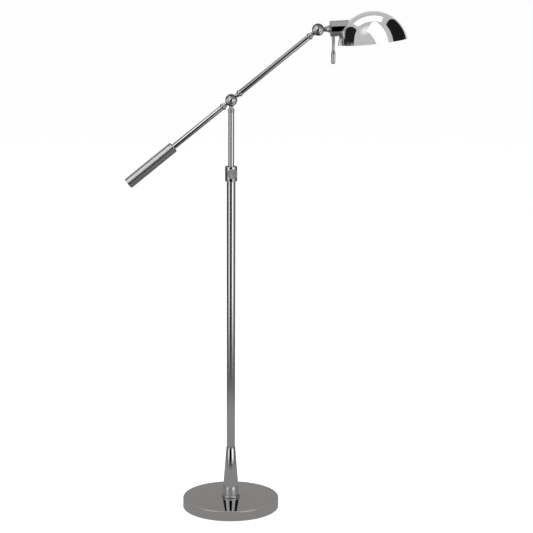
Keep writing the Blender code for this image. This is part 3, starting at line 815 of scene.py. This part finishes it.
def room_light(tree, place):
    """Brightness of the studio round the lamp by direction."""
    azimuth, height, _, ahead = place
    back = step_up(tree, ahead, -45, 30)
    light = paint(tree, constant(tree, 0.27), back, 0.43)
    light = dark_panels(tree, light, place)
    belt = constant(tree, 0.0)
    for start, end, level in BELT:
        band = inside(tree, [(azimuth, start, 4, 1), (azimuth, end, 4, -1)])
        belt = math_node(tree, "MULTIPLY_ADD", band, level, belt)
    # the belt loses contrast towards the floor
    steep = step_down(tree, height, -13.2, 7)
    belt = paint(tree, belt, math_node(tree, "MULTIPLY", steep, 0.62), 0.16)
    below = step_down(tree, height, 9.0, 10)
    light = math_node(tree, "ADD", math_node(tree, "MULTIPLY", belt, below),
                      math_node(tree, "MULTIPLY", light, math_node(tree, "SUBTRACT", 1.0, below)))
    light = paint(tree, light, step_down(tree, height, -20.0, 6), 0.34)
    # the unlit camera side
    camera_side = inside(tree, [(azimuth, -22, 4, 1), (azimuth, 22, 4, -1), (height, -44, 6, 1),
                                (height, 36, 8, -1)])
    return paint(tree, light, camera_side, 0.0)


def shade_painted_pattern(tree, place):
    """Brightness of the painted reflections that only the shade mirrors, by direction: its own
    softboxes and reflectors.
    """
    across, ahead = place[2:]
    painted_softbox = 1.75
    light = paint(tree, constant(tree, 0.60), step_up(tree, ahead, 5, 20), 0.63)
    light = paint(tree, light, inside(tree, [(ahead, -63, 10, -1)]), 0.80)
    light = paint(tree, light, inside(tree, [(ahead, -78, 10, -1)]), 1.05)
    # painted highlight: a hot spot in the shade's reflection
    hot = inside(tree, [(across, -37, 18, 1), (across, -14, 14, -1), (ahead, 15, 14, 1),
                        (ahead, 37, 18, -1)])
    light = paint(tree, light, math_node(tree, "MULTIPLY", hot, 0.8), 1.15)
    # painted reflection of a front softbox, widening from the zenith down to eye level
    left = math_node(tree, "MAXIMUM", math_node(tree, "MULTIPLY_ADD", ahead, -0.60, -2.0),
                     math_node(tree, "MULTIPLY_ADD", ahead, 0.68, -41.0))
    right = math_node(tree, "MULTIPLY_ADD", ahead, 0.98, 5.5)
    key = inside(tree, [(math_node(tree, "SUBTRACT", across, left), 0.0, 4, 1),
                        (math_node(tree, "SUBTRACT", across, right), 0.0, 4, -1),
                        (ahead, -1, 4, 1)])
    light = paint(tree, light, key, painted_softbox)
    # painted reflection of an overhead softbox
    top = inside(tree, [(across, -38, 3, 1), (across, 18, 3, -1), (ahead, -31, 4, 1),
                        (ahead, -4, 3, -1)])
    light = paint(tree, light, top, painted_softbox)
    return dark_panels(tree, light, place)


def mixed(tree, factor, first, second):
    """A shader that passes from the first to the second as the factor rises."""
    mix = tree.nodes.new("ShaderNodeMixShader")
    tree.links.new(factor, mix.inputs["Fac"])
    tree.links.new(first.outputs[0], mix.inputs[1])
    tree.links.new(second.outputs[0], mix.inputs[2])
    return mix


def added(tree, first, second):
    """Two shaders on top of each other."""
    both = tree.nodes.new("ShaderNodeAddShader")
    tree.links.new(first.outputs[0], both.inputs[0])
    tree.links.new(second.outputs[0], both.inputs[1])
    return both


def ray(tree, kind):
    """Whether the surface is met by a ray of one kind."""
    return node(tree, "ShaderNodeLightPath").outputs["Is %s Ray" % kind]


def surface(tree, shader, kind="Material"):
    """Makes a shader the output of its tree."""
    output = tree.nodes.new("ShaderNodeOutput" + kind)
    tree.links.new(shader.outputs[0], output.inputs["Surface"])


def off_axis(tree):
    """A sheet's distance from the axis of the stand."""
    place = node(tree, "ShaderNodeTexCoord").outputs["Object"]
    measured = node(tree, "ShaderNodeVectorMath", Vector=place)
    measured.operation = "LENGTH"
    return measured.outputs["Value"]


def studio_world():
    """What the metal mirrors of the studio. The camera itself sees plain white."""
    world = bpy.data.worlds.new("studio")
    bpy.context.scene.world = world
    world.use_nodes = True
    tree = world.node_tree
    tree.nodes.clear()
    direction = node(tree, "ShaderNodeTexCoord").outputs["Generated"]
    mirrored = node(tree, "ShaderNodeBackground", Strength=room_light(tree, chart(tree, direction)))
    mirrored.inputs["Color"].default_value = (1, 1, 1, 1)
    white = node(tree, "ShaderNodeBackground", Strength=1.0)
    white.inputs["Color"].default_value = (1, 1, 1, 1)
    surface(tree, mixed(tree, ray(tree, "Camera"), mirrored, white), "World")


def weight_painted_reflection(tree, place):
    """Painted reflection for the weight: it mirrors the tall softbox over most of its upper side,
    down to a dark edge.
    """
    _, height, across, ahead = place
    painted_softbox = inside(tree, [(across, -60, 8, 1), (across, 2, 10, -1), (ahead, 2, 8, 1),
                            (ahead, 80, 8, -1)])
    below = step_down(tree, height, -25, 10)
    return paint(tree, math_node(tree, "MULTIPLY", painted_softbox, 0.50), below, 0.16)


def arm_painted_reflection(tree, place, tall, low):
    """Painted reflections for the arms: a tall softbox on the left at one strength, and a light
    from below on the right.
    """
    azimuth, height, across, ahead = place
    painted_softbox = inside(tree, [(across, -54, 8, 1), (across, -10, 8, -1), (ahead, 24, 10, 1),
                            (ahead, 66, 8, -1)])
    below = inside(tree, [(azimuth, 22, 6, 1), (azimuth, 85, 6, -1), (height, -58, 6, 1),
                          (height, -20, 6, -1)])
    return math_node(tree, "MULTIPLY_ADD", below, low,
                     math_node(tree, "MULTIPLY", painted_softbox, tall))


def glowing(name, piece, strength, pieces):
    """Makes a stage piece a painted reflection: a glow that only the mirrors of a few pieces pick
    up.
    """
    for way in ("camera", "diffuse", "transmission", "volume_scatter", "shadow"):
        setattr(piece, "visible_" + way, False)
    material = bpy.data.materials.new(name)
    material.use_nodes = True
    material.cycles.emission_sampling = "NONE"
    tree = material.node_tree
    tree.nodes.clear()
    glow = node(tree, "ShaderNodeEmission",
                Strength=math_node(tree, "MAXIMUM", strength(tree), 0.0))
    surface(tree, added(tree, glow, tree.nodes.new("ShaderNodeBsdfTransparent")))
    piece.data.materials.append(material)
    receivers = bpy.data.collections.new(name)
    for receiver in pieces:
        receivers.objects.link(receiver)
    piece.light_linking.receiver_collection = receivers


def painted_reflection_shell(name, light, pieces):
    """Painted reflections that only a few pieces mirror, given by direction, on a far glowing
    shell.
    """
    builder = bmesh.new()
    bmesh.ops.create_icosphere(builder, subdivisions=4, radius=9.0)
    mesh = bpy.data.meshes.new(name)
    builder.to_mesh(mesh)
    builder.free()
    shell = bpy.data.objects.new(name, mesh)
    bpy.context.scene.collection.objects.link(shell)
    corners = [corner for item in pieces for corner in item.bound_box]
    middle = sum((item.matrix_world @ Vector(corner) for item in pieces
                  for corner in item.bound_box), Vector()) / len(corners)
    shell.location = middle

    def strength(tree):
        local = node(tree, "ShaderNodeTexCoord").outputs["Object"]
        direction = node(tree, "ShaderNodeVectorMath", Vector=local)
        direction.operation = "NORMALIZE"
        return light(tree, chart(tree, direction.outputs["Vector"]))

    glowing(name, shell, strength, pieces)


def shade_painted_reflection(tree, place):
    """The shade's painted reflections, as its own light on top of the room's."""
    return math_node(tree, "SUBTRACT", shade_painted_pattern(tree, place), room_light(tree, place))


def base_painted_reflection(tree, place):
    """Painted reflection for the base: its broad top mirrors an even grey from every side."""
    above = step_up(tree, place[1], 0, 8)
    even = math_node(tree, "SUBTRACT", 0.27, room_light(tree, place))
    return math_node(tree, "MULTIPLY", math_node(tree, "MAXIMUM", even, 0.0), above)


def piece_painted_reflections():
    """Painted reflections of their own for the shade, the arms, the base and the weight."""
    painted_reflection_shell("shade_painted_reflection_shell", shade_painted_reflection, [MADE["shade_dome"]])
    painted_reflection_shell("arm_painted_reflection_shell", lambda tree, place: arm_painted_reflection(tree, place, 0.80, 0.45),
              [MADE[name] for name in ("rear_arm_tube", "rear_coupler", "front_coupler",
                                       "arm_end_coupler", "boom_knuckle_lower", "head_knuckle",
                                       "lower_cap_front", "upper_cap_front")])
    painted_reflection_shell("boom_painted_reflection_shell", lambda tree, place: arm_painted_reflection(tree, place, 0.10, 0.42),
              [MADE["front_arm_tube"]])
    painted_reflection_shell("base_painted_reflection_shell", base_painted_reflection, [MADE["base_cover"]])
    painted_reflection_shell("weight_painted_reflection_shell", weight_painted_reflection, [MADE["counterweight"]])


def square_sheet(name, reach, height):
    """A level square of the stage, centred on the axis of the stand."""
    mesh = bpy.data.meshes.new(name)
    mesh.from_pydata([(-reach, -reach, height), (reach, -reach, height), (reach, reach, height),
                      (-reach, reach, height)], [], [(0, 1, 2, 3)])
    piece = bpy.data.objects.new(name, mesh)
    bpy.context.scene.collection.objects.link(piece)
    return piece


def pale_floor():
    """White floor. What the metal mirrors of it is a painted reflection, grey close by and fading
    out into the studio.
    """
    white, lit, grey = 0.92, 0.70, 0.13
    floor = square_sheet("studio_floor", 60.0, 0)
    material = bpy.data.materials.new("studio_paper")
    material.use_nodes = True
    tree = material.node_tree
    tree.nodes.clear()
    paper = node(tree, "ShaderNodeBsdfDiffuse")
    paper.inputs["Color"].default_value = (white, white, white, 1)
    seen = added(tree, paper, node(tree, "ShaderNodeEmission", Strength=lit))
    near = node(tree, "ShaderNodeEmission", Strength=grey)
    mirrored = mixed(tree, step_up(tree, off_axis(tree), 1.35, 1.3), near,
                     tree.nodes.new("ShaderNodeBsdfTransparent"))
    surface(tree, mixed(tree, ray(tree, "Glossy"), seen, mirrored))
    floor.data.materials.append(material)


def floor_painted_reflection():
    """Painted reflection: the stand mirrors the floor round it at a low angle as brighter, a glow
    that only its lower pieces see.
    """
    glow, above_floor, stand_top = 0.15, 0.0004, 0.9
    sheet = square_sheet("floor_painted_reflection", 3.0, above_floor)
    glowing("floor_painted_reflection", sheet,
            lambda tree: math_node(tree, "MULTIPLY",
                                   step_down(tree, off_axis(tree), 0.85, 0.5), glow),
            [item for item in MADE.values() if item.matrix_world.translation.z < stand_top])


def soft_light(name, place, target, size, power):
    """A rectangular light that is itself neither seen nor mirrored."""
    lamp = bpy.data.lights.new(name, "AREA")
    lamp.shape = "RECTANGLE"
    lamp.size, lamp.size_y = size
    lamp.energy = power
    item = bpy.data.objects.new(name, lamp)
    bpy.context.scene.collection.objects.link(item)
    item.location = place
    item.rotation_euler = (Vector(target) - Vector(place)).to_track_quat("-Z", "Y").to_euler()
    item.visible_camera = False
    item.visible_glossy = False


def studio():
    """What the lamp mirrors and what lights it."""
    studio_world()
    pale_floor()
    floor_painted_reflection()
    piece_painted_reflections()
    soft_light("overhead_softbox", (-0.3, 0.4, 3.4), (0, 0, 0.6), (2.4, 1.6), 34)
    soft_light("front_softbox", (1.8, -2.6, 2.2), (0, 0, 0.7), (1.6, 2.0), 22)
    soft_light("side_softbox", (-2.4, -1.6, 2.0), (0, 0, 0.9), (1.6, 2.0), 14)


FOCAL_LENGTH, SENSOR = 119.18, 36.0    # mm
EYE = (0.0922, -4.5, 1.549)            # m
DOWN, ROLL = 11.269, 0.294             # degrees


def camera():
    """The photograph's view, fitted to points of the lamp in it."""
    lens = bpy.data.cameras.new("camera")
    lens.sensor_width = SENSOR
    lens.lens = FOCAL_LENGTH
    lens.clip_end = 200.0
    item = bpy.data.objects.new("camera", lens)
    bpy.context.scene.collection.objects.link(item)
    pitch, roll = math.radians(90 - DOWN), math.radians(ROLL)
    turn = Matrix.Rotation(pitch, 4, "X") @ Matrix.Rotation(roll, 4, "Z")
    item.matrix_world = Matrix.Translation(EYE) @ turn
    bpy.context.scene.camera = item


# ---------------------------------------------------------------- assembly

def carried_over():
    """Better finishes for the CAD nodes that stay."""
    for name, item in frame["nodes"].items():
        if item.hide_render:
            continue
        look = LOOKS["chrome" if name in PLATED else SLOTS[name]]
        for number in range(len(item.material_slots)):
            item.material_slots[number].material = look


camera()
stand_pieces()
thumb_knob()
counterweight()
post_pieces()
knuckle_pieces()
boom_pieces()
head_pieces()
bulb_pieces()
shade_pieces()
wand_pieces()
carried_over()
studio()
bpy.context.scene.view_settings.view_transform = "Standard"
